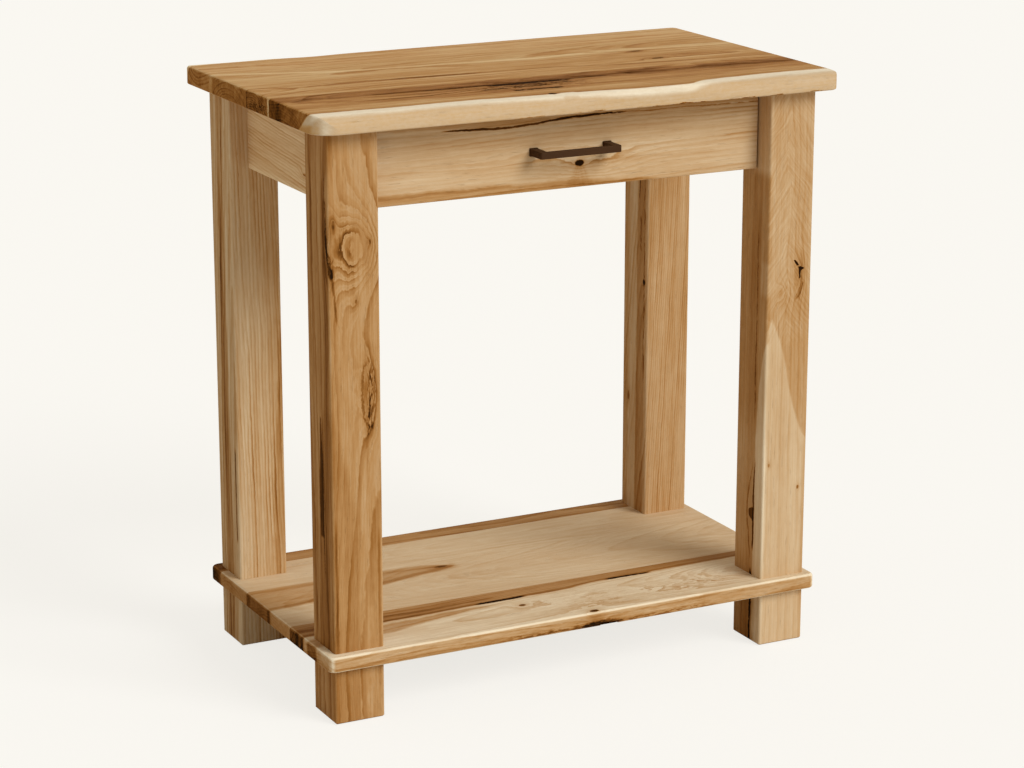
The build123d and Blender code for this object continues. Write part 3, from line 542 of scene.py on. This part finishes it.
assign(wood(
    "wood_post_front_left", "z", pith=(-262, -96), tilt=(0.006, 0.004), ring=5.2, base=0.435, seed=50.0,
    wander=6, contrast=1.1, stripes=0.09,
    streaks=[
        # the shaded left face, with a crack at its front corner and a bark seam lower down
        streak("y",
               ((0, -178), (300, -176), (500, -182), (563, -183), (615, -176), (700, -186), (740, -190)),
               ((0, -140), (300, -150), (500, -171), (615, -168), (700, -174), (740, -180)), 0.13, soft=4,
               ragged=4, depth=LEFT_FACE_OF_LEFT, ends=(80, 770, 20)),
        crack("y",
              ((552, -191), (575, -188), (595, -185), (615, -182), (635, -180), (666, -178), (690, -178)),
              ((552, -190), (575, -185), (595, -180), (615, -177), (635, -178), (666, -177), (690, -177.6)),
              0.34, ends=(562, 680, 16), depth=LEFT_FACE_OF_LEFT, broken=0.38, jag=3.2),
        streak("y", ((552, -192), (600, -186), (660, -182)), ((552, -184), (600, -170), (660, -172)), 0.10,
               soft=2, ragged=3, jag=2.0, depth=LEFT_FACE_OF_LEFT, ends=(560, 650, 16)),
        streak("y", ((200, -158), (240, -161), (300, -161.5), (360, -158), (386, -157)),
               ((200, -155), (240, -151), (300, -150.5), (360, -152), (388, -154)), 0.27, soft=0.8,
               ragged=2.0, jag=1.6, depth=LEFT_FACE_OF_LEFT, ends=(238, 384, 5)),
        crack("y", -162.0, -160.0, 0.28, ends=(196, 238, 10), depth=LEFT_FACE_OF_LEFT),
        streak("y", -140, -134, 0.08, soft=2, ragged=3, depth=LEFT_FACE_OF_LEFT),
        # the whole left face a little darker: painted shade
        streak("y", -230, -120, 0.05, depth=LEFT_FACE_OF_LEFT),
        # the front face: the crack's tail, a brown flame low at the left, thin dark lines
        crack("x", ((500, -328), (530, -330), (560, -334), (590, -337)),
              ((500, -326), (530, -327), (560, -331), (590, -334)), 0.20, ends=(516, 580, 14),
              depth=FRONT_FACE, broken=0.40, jag=1.6),
        streak("x", -334.0, -331.0, 0.16, soft=1.2, ragged=2, jag=0.8, depth=FRONT_FACE,
               ends=(110, 240, 30)),
        streak("x", None, ((0, -300), (150, -302), (230, -300), (300, -314), (380, -330)), 0.07, soft=5,
               ragged=6, jag=1.0, depth=FRONT_FACE, ends=(-10, 372, 40)),
        streak("x", -278.0, -274.5, 0.13, soft=1.5, ragged=2, jag=0.8, depth=FRONT_FACE, ends=(70, 220, 40)),
        crack("x", ((370, -291), (392, -284), (420, -281), (445, -284), (466, -290)),
              ((370, -289), (392, -281), (420, -278), (445, -281), (466, -288)), 0.21, ends=(378, 458, 14),
              depth=FRONT_FACE, broken=0.44, jag=3.4),
        crack("x", ((376, -289), (400, -288), (430, -286), (460, -290)),
              ((376, -287), (400, -285), (430, -283), (460, -288)), 0.19, ends=(372, 450, 14),
              depth=FRONT_FACE, broken=0.48, jag=3.8),
        crack("x", ((380, -292), (400, -297), (430, -298), (455, -293)),
              ((380, -289), (400, -294), (430, -295), (455, -290)), 0.20, ends=(384, 450, 14),
              depth=FRONT_FACE, broken=0.42, jag=3.4),
        crack("x", -289, -282, 0.20, ends=(376, 436, 14), depth=FRONT_FACE, broken=0.50, jag=3.8),
    ],
    knots=[
        knot("x", (606, -298), (98, 25), 2.1, 0.03, depth=FRONT_FACE, curl=0.5, lines=1.3),
        knot("x", (597, -299), (41, 35), 4.9, 0.02, depth=FRONT_FACE, curl=1.0, lines=1.9),
        knot("x", (597, -299), (18, 14), 0.0, 0.0, depth=FRONT_FACE, lines=-4.0),
        knot("x", (592, -310), (5, 2.5), 0.0, 0.18, depth=FRONT_FACE),
        knot("x", (628, -330), (14, 5), 0.8, 0.18, core=0.2, core_tone=0.1, depth=FRONT_FACE),
        knot("x", (604, -283), (10, 4), 0.6, 0.08, core=0.15, core_tone=0.15, depth=FRONT_FACE),
        knot("x", (533, -302), (10, 6), 0.6, 0.08, core=0.10, core_tone=0.16, depth=FRONT_FACE),
        knot("x", (420, -287), (50, 13), 2.6, 0.11, depth=FRONT_FACE, curl=1.2, lines=1.6),
    ]), "post_front_left", "foot_front_left")
assign(wood(
    "wood_post_front_right", "z", pith=(372, -250), tilt=(0.01, 0.01), ring=5.0, base=0.34, seed=61.0,
    wander=6, contrast=0.5, stripes=0.06, wear_and_highlight=0.0, extra=waves_on_front,
    streaks=[
        # pale sapwood wedge that fills the lower part of the front face
        streak("x", ((0, 262), (400, 266), (416, 271), (432, 275), (446, 279)),
               ((0, 345), (250, 345), (290, 327), (313, 318), (345, 309), (383, 301), (408, 294),
                (433, 284), (446, 279)), -0.13, soft=1.6, ragged=2.5, depth=FRONT_SKIN,
               ends=(-10, 442, 6)),
        streak("x", ((0, 331), (250, 331), (290, 336)), None, 0.10, soft=3, ragged=4, depth=FRONT_FACE,
               ends=(-10, 260, 60)),
        # browner wood over and beside the wedge
        streak("x", ((280, 334), (313, 319), (345, 310), (383, 302), (408, 295), (433, 284), (446, 270)),
               None, 0.075, soft=2, ragged=3, depth=FRONT_SKIN, ends=(296, 462, 24)),
        crack("x", ((511, 316), (519, 310.5)), ((511, 319.5), (519, 313.5)), 0.62, ends=(512, 518, 1.5),
              depth=FRONT_FACE, broken=0.10, jag=0.9),
        crack("x", ((494, 319.5), (504, 318.5), (509, 318)),
              ((494, 321.2), (504, 322), (507, 326), (509, 322)), 0.62, ends=(495, 509, 1.5),
              depth=FRONT_FACE, broken=0.10, jag=0.9),
        crack("x", ((468, 315), (476, 320), (488, 323.5)), ((468, 318), (476, 323), (488, 326)), 0.20,
              ends=(470, 486, 5), depth=FRONT_FACE, broken=0.3, jag=1.0),
        # the left face: darker all over, which is painted shade, paler at its front corner, and its black eye
        streak("x", None, 276, 0.115, soft=3, ragged=3, depth=(-188, -110)),
        streak("y", -200, -100, -0.10, depth=LEFT_FACE_OF_RIGHT, ends=(146, 262, 70)),
        # lighter beside the drawer: painted light that takes off part of the shade between the post and the
        # drawer front
        streak("y", -200, -150, -0.16, depth=LEFT_FACE_OF_RIGHT, ends=(640, 770, 16)),
        streak("y", -192,
               ((0, -166), (250, -167), (324, -170), (362, -175), (392, -181), (418, -189), (430, -194)),
               -0.20, soft=1.6, ragged=2, depth=LEFT_FACE_OF_RIGHT, ends=(-10, 420, 10)),
        streak("y", ((0, -172), (400, -170), (740, -176)), ((0, -150), (400, -146), (740, -158)), 0.07,
               soft=3, ragged=4, jag=1.0, depth=LEFT_FACE_OF_RIGHT),
        streak("y", -188, -171, -0.07, soft=3, ragged=3, depth=LEFT_FACE_OF_RIGHT, ends=(480, 512, 10)),
        crack("y", -165, -163, 0.22, ends=(330, 540, 30), depth=LEFT_FACE_OF_RIGHT, broken=0.40),
        crack("y", ((110, -167), (170, -168), (250, -168)),
              ((110, -166), (150, -164), (190, -164), (250, -167)), 0.5, ends=(136, 246, 12),
              depth=LEFT_FACE_OF_RIGHT, broken=0.26, jag=1.4),
        crack("y", ((120, -160), (150, -156), (178, -152), (200, -154), (240, -163)),
              ((120, -158), (150, -153), (178, -149), (200, -151), (240, -161)), 0.20, ends=(122, 238, 12),
              depth=LEFT_FACE_OF_RIGHT, broken=0.40, jag=1.8),
        crack("y", ((168, -166), (178, -166), (186, -166)), ((168, -162), (178, -154), (186, -162)), 0.40,
              ends=(170, 184, 4), depth=LEFT_FACE_OF_RIGHT, broken=0.26, jag=1.2),
        streak("y", -170, -138, 0.12, soft=3, ragged=4, depth=LEFT_FACE_OF_RIGHT, ends=(-10, 78, 20)),
        crack("y", -164, -160, 0.6, ends=(-10, 92, 12), depth=LEFT_FACE_OF_RIGHT, broken=0.30),
    ],
    knots=[
        knot("x", (498, 318), (25, 8.5), 2.6, 0.17, depth=FRONT_FACE, curl=1.0, lines=2.4),
        knot("x", (477, 295), (16, 11), 3.2, 0.05, depth=FRONT_FACE, curl=1.2, lines=2.0),
        knot("x", (640, 300), (70, 16), 2.2, 0.0, depth=FRONT_FACE, curl=1.5),
        knot("x", (213, 325), (5, 3), 0.6, 0.12, core=0.4, core_tone=0.30, depth=FRONT_FACE),
        knot("x", (248, 280), (5, 3), 0.6, 0.10, core=0.4, core_tone=0.16, depth=FRONT_FACE),
    ]), "post_front_right", "foot_front_right")
assign(wood(
    "wood_post_back_left", "z", pith=(-430, 96), tilt=(-0.02, 0.0), ring=4.6, base=0.29, seed=72.0,
    wander=5, contrast=2.0, stripes=0.34, tint=(0.985, 1.0, 1.0),
    streaks=[
        streak("x", ((0, -288), (150, -289), (300, -281), (460, -272), (520, -264)), None, 0.15, soft=3,
               ragged=5, depth=(115, 135), ends=(-10, 400, 90)),
        streak("y", ((0, 144), (740, 147)), ((0, 168), (740, 166)), 0.17, soft=2, ragged=3,
               depth=LEFT_FACE_OF_LEFT),
        streak("y", ((0, 156), (740, 158)), ((0, 162), (740, 163)), 0.12, soft=2, ragged=3, jag=1.0,
               depth=LEFT_FACE_OF_LEFT, ends=(-10, 600, 60)),
        streak("y", 168, None, 0.05, soft=2, ragged=3, depth=LEFT_FACE_OF_LEFT),
        crack("y", 127, 129.5, 0.5, ends=(150, 262, 12), depth=LEFT_FACE_OF_LEFT, broken=0.30, jag=1.0),
    ]), "post_back_left", "foot_back_left")
assign(wood(
    "wood_post_back_right", "z", pith=(430, 92), tilt=(0.06, 0.0), ring=3.4, base=0.375, seed=83.0,
    wander=4, contrast=1.1, stripes=0.14,
    streaks=[
        # the left face: dark along its front corner, tan in the middle, brown at the back
        streak("y", 128.5, ((0, 150), (740, 149)), 0.20, soft=1.6, ragged=3, jag=0.8,
               depth=LEFT_FACE_OF_RIGHT),
        streak("y", None, 128.5, 0.07, soft=1.5, ragged=2, jag=1.0, depth=(262, 277)),
        streak("x", None, 275, -0.07, soft=2, ragged=1, depth=(115, 190)),
        streak("y", 171, None, 0.11, soft=2, ragged=3, depth=LEFT_FACE_OF_RIGHT),
        crack("y", 143, 145, 0.34, ends=(545, 700, 8), depth=LEFT_FACE_OF_RIGHT, broken=0.24),
        crack("y", 137, 142, 0.18, ends=(474, 512, 8), depth=LEFT_FACE_OF_RIGHT, broken=0.40),
        crack("y", 127, 131, 0.20, ends=(300, 560, 20), depth=(262, 275), broken=0.50, jag=1.6),
    ],
    knots=[
        knot("y", (426, 130), (6, 5), 0.6, 0.10, core=0.6, core_tone=0.5, depth=(262, 274)),
        knot("y", (255, 170), (14, 5), 0.6, 0.16, core=0.30, core_tone=0.20, depth=LEFT_FACE_OF_RIGHT),
    ]), "post_back_right", "foot_back_right")


# ---------------------------------------------------------------- aprons, drawer and the plain wood inside

KNOT_X, KNOT_TOP = 13.0, 668.0  # the drawer front's knot


def drawer_knot_fan(g, place, facing, tone, seed):
    """Brown wood that spreads downwards from the drawer front's knot, and rays in it."""
    x, z = place["x"], place["z"]
    down = KNOT_TOP - z
    spread = g.largest(down * 0.62 + 3.0, 1.0)
    from_middle = (x - KNOT_X) / spread
    ragged = g.noise(x * 0.10, z * 0.14, place["y"] * 0.02, detail=4.0, rough=0.7)
    fan = g.step(abs(from_middle) + ragged * 0.9, 1.2, 0.5) * g.step(down, -2.0, 6.0)
    rays = g.noise(from_middle * 3.0, z * 0.015, 4.0, detail=2.0)
    return tone + fan * (rays * 0.22 + 0.08)


assign(wood(
    "wood_apron_left", "y", pith=(-352, 560), tilt=(0.0, 0.10), ring=4.0, base=0.17, seed=91.0, wander=4,
    stripes=0.16, contrast=1.9, tint=(1.08, 0.99, 0.86),
    knots=[
        knot("z", (-60, 664), (16, 6), 2.0, 0.12, core=0.12, core_tone=0.3),
    ]), "apron_left")
assign(wood(
    "wood_apron_right", "y", pith=(270, 800), tilt=(0.0, -0.05), ring=4.4, base=0.38, seed=97.0, wander=8,
    stripes=0.06), "apron_right")
assign(wood(
    "wood_apron_back", "x", pith=(60, 650), tilt=(0.04, 0.03), ring=4.4, base=0.34, seed=103.0, wander=9,
    contrast=0.9, stripes=0.05,
    streaks=[
        streak("z", None, ((-290, 668), (-60, 655), (120, 648), (290, 636)), 0.16, soft=4, ragged=5,
               jag=1.0),
    ],
    knots=[
        knot("z", (96, 700), (22, 9), 2.6, 0.12, core=0.14, core_tone=0.4, curl=1.5),
    ]), "apron_back")
assign(wood(
    "wood_drawer_front", "x", pith=(-100, 548), tilt=(0.0, 0.012), ring=5.6, base=0.27, seed=112.0,
    wander=6, contrast=1.15, stripes=0.07, extra=drawer_knot_fan,
    streaks=[
        streak("z", None,
               ((-269, 650), (-165, 650), (-96, 649), (-11, 648), (60, 643), (110, 640), (150, 630)), 0.17,
               soft=2.5, ragged=4, jag=1.0),
        streak("z", ((-269, 644), (-165, 645), (-96, 644), (-11, 641), (60, 636)),
               ((-269, 647), (-165, 648), (-96, 647), (-11, 645), (60, 640)), 0.08, soft=1.2, ragged=3,
               jag=1.0),
        streak("z",
               ((-269, 727), (-158, 723.5), (-96, 721.5), (-54, 722.5), (-25, 725.5), (61, 726),
                (269, 725)), None, 0.16, soft=1.5, ragged=3),
        crack("z", ((-269, 724), (-158, 720), (-96, 718), (-54, 719.5), (-25, 722.5), (11, 724), (61, 724)),
              ((-269, 726), (-158, 722), (-96, 720.8), (-54, 722.2), (-25, 725), (11, 727), (61, 726)),
              0.62, ends=(-162, 66, 16), broken=0.34, jag=0.9),
        crack("z", ((-269, 722), (0, 724), (61, 724.4), (269, 723)),
              ((-269, 723), (0, 725.6), (61, 726), (269, 724.6)), 0.26, ends=(40, 264, 20), broken=0.38,
              jag=0.7),
        streak("z", ((0, 717), (120, 719.5), (269, 716.5)), ((0, 718), (120, 721), (269, 718)), 0.09,
               soft=0.8, ragged=2, jag=0.8, ends=(40, 264, 30)),
    ],
    knots=[
        knot("z", (12.8, 667.3), (8.5, 5.4), 1.0, 0.10, core=0.70, core_tone=0.66),
        knot("z", (30, 664), (64, 18), 2.4, 0.02, curl=1.6, lines=0.8),
        knot("z", (-110, 676), (80, 12), 1.2, 0.02),
    ]), "drawer_front")
assign(wood(
    "wood_stretcher", "x", pith=(-110, 640), ring=5.0, base=0.22, seed=121.0), "front_stretcher")
assign(wood(
    "wood_cleats", "y", pith=(0, 600), ring=6.0, base=0.24, seed=127.0),
    "slide_cleat_left", "slide_cleat_right")
assign(wood(
    "wood_drawer_sides", "y", pith=(0, 610), tilt=(0, 0.03), ring=6.0, base=0.14, seed=131.0, gloss=0.5,
    contrast=0.8), "drawer_side_left", "drawer_side_right")
assign(wood(
    "wood_drawer_ends", "x", pith=(0, 600), tilt=(0, 0.02), ring=6.0, base=0.15, seed=137.0, gloss=0.5,
    contrast=0.8), "drawer_box_front", "drawer_back")
assign(wood(
    "wood_drawer_bottom", "x", pith=(20, 400), ring=9.0, base=0.16, seed=141.0, gloss=0.5, wander=14,
    contrast=0.9), "drawer_bottom")
assign(wood(
    "wood_dowels", "z", pith=(0, 0), ring=3.0, base=0.18, seed=151.0), "shelf_dowels")


# ---------------------------------------------------------------- metal and plastic

def metal(name, colour, roughness, metallic, specular, speck=0.0):
    """Plated or painted metal with fine rolling marks along Y and small specks."""
    g = Graph(name)
    x, y, z = g.place()
    lines = g.noise(x * 1.8, y * 0.02, z * 1.8, detail=3.0)
    cloud = g.noise(x * 0.05, y * 0.05, z * 0.05, detail=3.0)
    dots = g.noise(x * 1.2, y * 1.2, z * 1.2, detail=2.0)
    dark = tuple(c * 0.72 for c in colour[:3]) + (1.0,)
    light = tuple(min(c * 1.22, 1.0) for c in colour[:3]) + (1.0,)
    shade = g.ramp(0.5 + lines * 0.35 + cloud * 0.7 + dots * speck, ((0.0, dark), (1.0, light)))
    return g.finish(shade, roughness + lines * 0.08 + cloud * 0.12, lines + dots * 0.6, bump=0.00006,
                    Metallic=metallic, Specular_IOR_Level=specular)


def nylon():
    """Moulded brown glide, with a fine spark texture and scuffs from the floor."""
    g = Graph("glide_nylon")
    x, y, z = g.place()
    texture = g.noise(x * 2.5, y * 2.5, z * 2.5, detail=3.0)
    scuffs = g.noise(x * 0.4, y * 0.12, z * 0.4, detail=4.0, rough=0.7)
    browns = ((0.0, linear(66, 47, 33)), (1.0, linear(120, 92, 68)))
    colour = g.ramp(0.5 + texture * 0.3 + scuffs * 0.5, browns)
    return g.finish(colour, 0.6 + scuffs * 0.2, texture, bump=0.0001)


SLIDE_PARTS = ("slide_cabinet", "slide_middle", "slide_drawer", "ball_cage")
assign(metal("zinc_steel", linear(205, 206, 208), 0.32, 1.0, specular=0.5),
       *[name for name in nodes if name.startswith(SLIDE_PARTS)],
       "lag_screws", "lag_washers", "tabletop_clips", "cabinet_slide_screws", "drawer_slide_screws")
assign(metal("yellow_zinc", linear(205, 178, 112), 0.34, 1.0, specular=0.5),
       "clip_screws", "stretcher_screws", "cleat_screws", "drawer_front_screws", "pull_screws")
assign(metal("bronze_pull", linear(67, 42, 20), 0.6, 0.05, specular=0.12, speck=0.6), "pull")
assign(nylon(), "foot_glides")


# ---------------------------------------------------------------- stage, lights and camera

BACKDROP = (0.955, 0.935, 0.880, 1.0)       # what is seen beyond the floor
BACKDROP_GLOW = (1.053, 1.038, 0.991, 1.0)  # what is seen of the floor, mixed with its own light and shade
BACKDROP_SHARE = 0.75                       # the glow's share of that mixture
FLOOR_HALF = 30.0
FLOOR_DARK, FLOOR_LIGHT = (0.78, 0.765, 0.73, 1.0), (0.80, 0.785, 0.75, 1.0)
SKY_COLOUR, SKY_STRENGTH = (1.0, 0.90, 0.77, 1.0), 0.46


def seen_rays(g):
    """1 for the rays that show the backdrop itself: the camera's, and those in gloss and glass."""
    camera, glossy, through = [g.node("LightPath", {}, out="Is " + kind + " Ray")
                               for kind in ("Camera", "Glossy", "Transmission")]
    return g.math("MINIMUM", camera + glossy + through, 1.0)


def stage_floor():
    """A wide pale floor. Seen directly it is nearly white, and it keeps the table's soft shadow."""
    corners = [(x * FLOOR_HALF, y * FLOOR_HALF, 0) for x, y in ((-1, -1), (1, -1), (1, 1), (-1, 1))]
    mesh = bpy.data.meshes.new("floor")
    mesh.from_pydata(corners, [], [(0, 1, 2, 3)])
    floor = bpy.data.objects.new("floor", mesh)
    bpy.context.scene.collection.objects.link(floor)
    g = Graph("floor")
    x, y, z = g.place()
    weave = g.noise(x * 0.05, y * 0.05, z, detail=2.0)
    lit = g.node("BsdfDiffuse", {"Color": g.ramp(0.5 + weave * 0.4, ((0.0, FLOOR_DARK), (1.0, FLOOR_LIGHT)))})
    glow = g.node("Emission", {"Color": BACKDROP_GLOW, "Strength": 1.0})
    g.show(g.node("MixShader", {0: seen_rays(g) * BACKDROP_SHARE, 1: lit, 2: glow}), "Material")
    mesh.materials.append(g.material)


def studio_world():
    """Warm light from all around, behind which the camera sees the pale backdrop."""
    world = bpy.data.worlds.new("studio")
    bpy.context.scene.world = world
    world.use_nodes = True
    g = Graph(tree=world.node_tree)
    light = g.node("Background", {"Color": SKY_COLOUR, "Strength": SKY_STRENGTH})
    seen = g.node("Background", {"Color": BACKDROP, "Strength": 1.0})
    g.show(g.node("MixShader", {0: seen_rays(g), 1: light, 2: seen}), "World")


def sun(name, come_from, strength, angle, colour):
    """Light from a direction, given as a vector towards the light. angle is its softness in degrees."""
    data = bpy.data.lights.new(name, "SUN")
    data.energy, data.angle, data.color = strength, math.radians(angle), colour
    lamp = bpy.data.objects.new(name, data)
    bpy.context.scene.collection.objects.link(lamp)
    lamp.rotation_mode = "QUATERNION"
    lamp.rotation_quaternion = Vector(come_from).to_track_quat("Z", "Y")


def photo_camera():
    """The photograph's camera, fitted to the table's corners by least squares, without shift."""
    data = bpy.data.cameras.new("camera")
    data.sensor_width = 36.0
    data.lens = 102.4
    data.clip_end = 100.0
    camera = bpy.data.objects.new("camera", data)
    bpy.context.scene.collection.objects.link(camera)
    camera.location = (-1.6613, -3.2581, 1.3642)
    camera.rotation_euler = (math.radians(90 - 15.54), 0.0, math.radians(-27.03))
    bpy.context.scene.camera = camera


stage_floor()
studio_world()
sun("key", (0.42, -0.78, 0.64), 2.1, 32.0, (0.98, 0.99, 1.0))
photo_camera()
bpy.context.scene.view_settings.view_transform = "Standard"
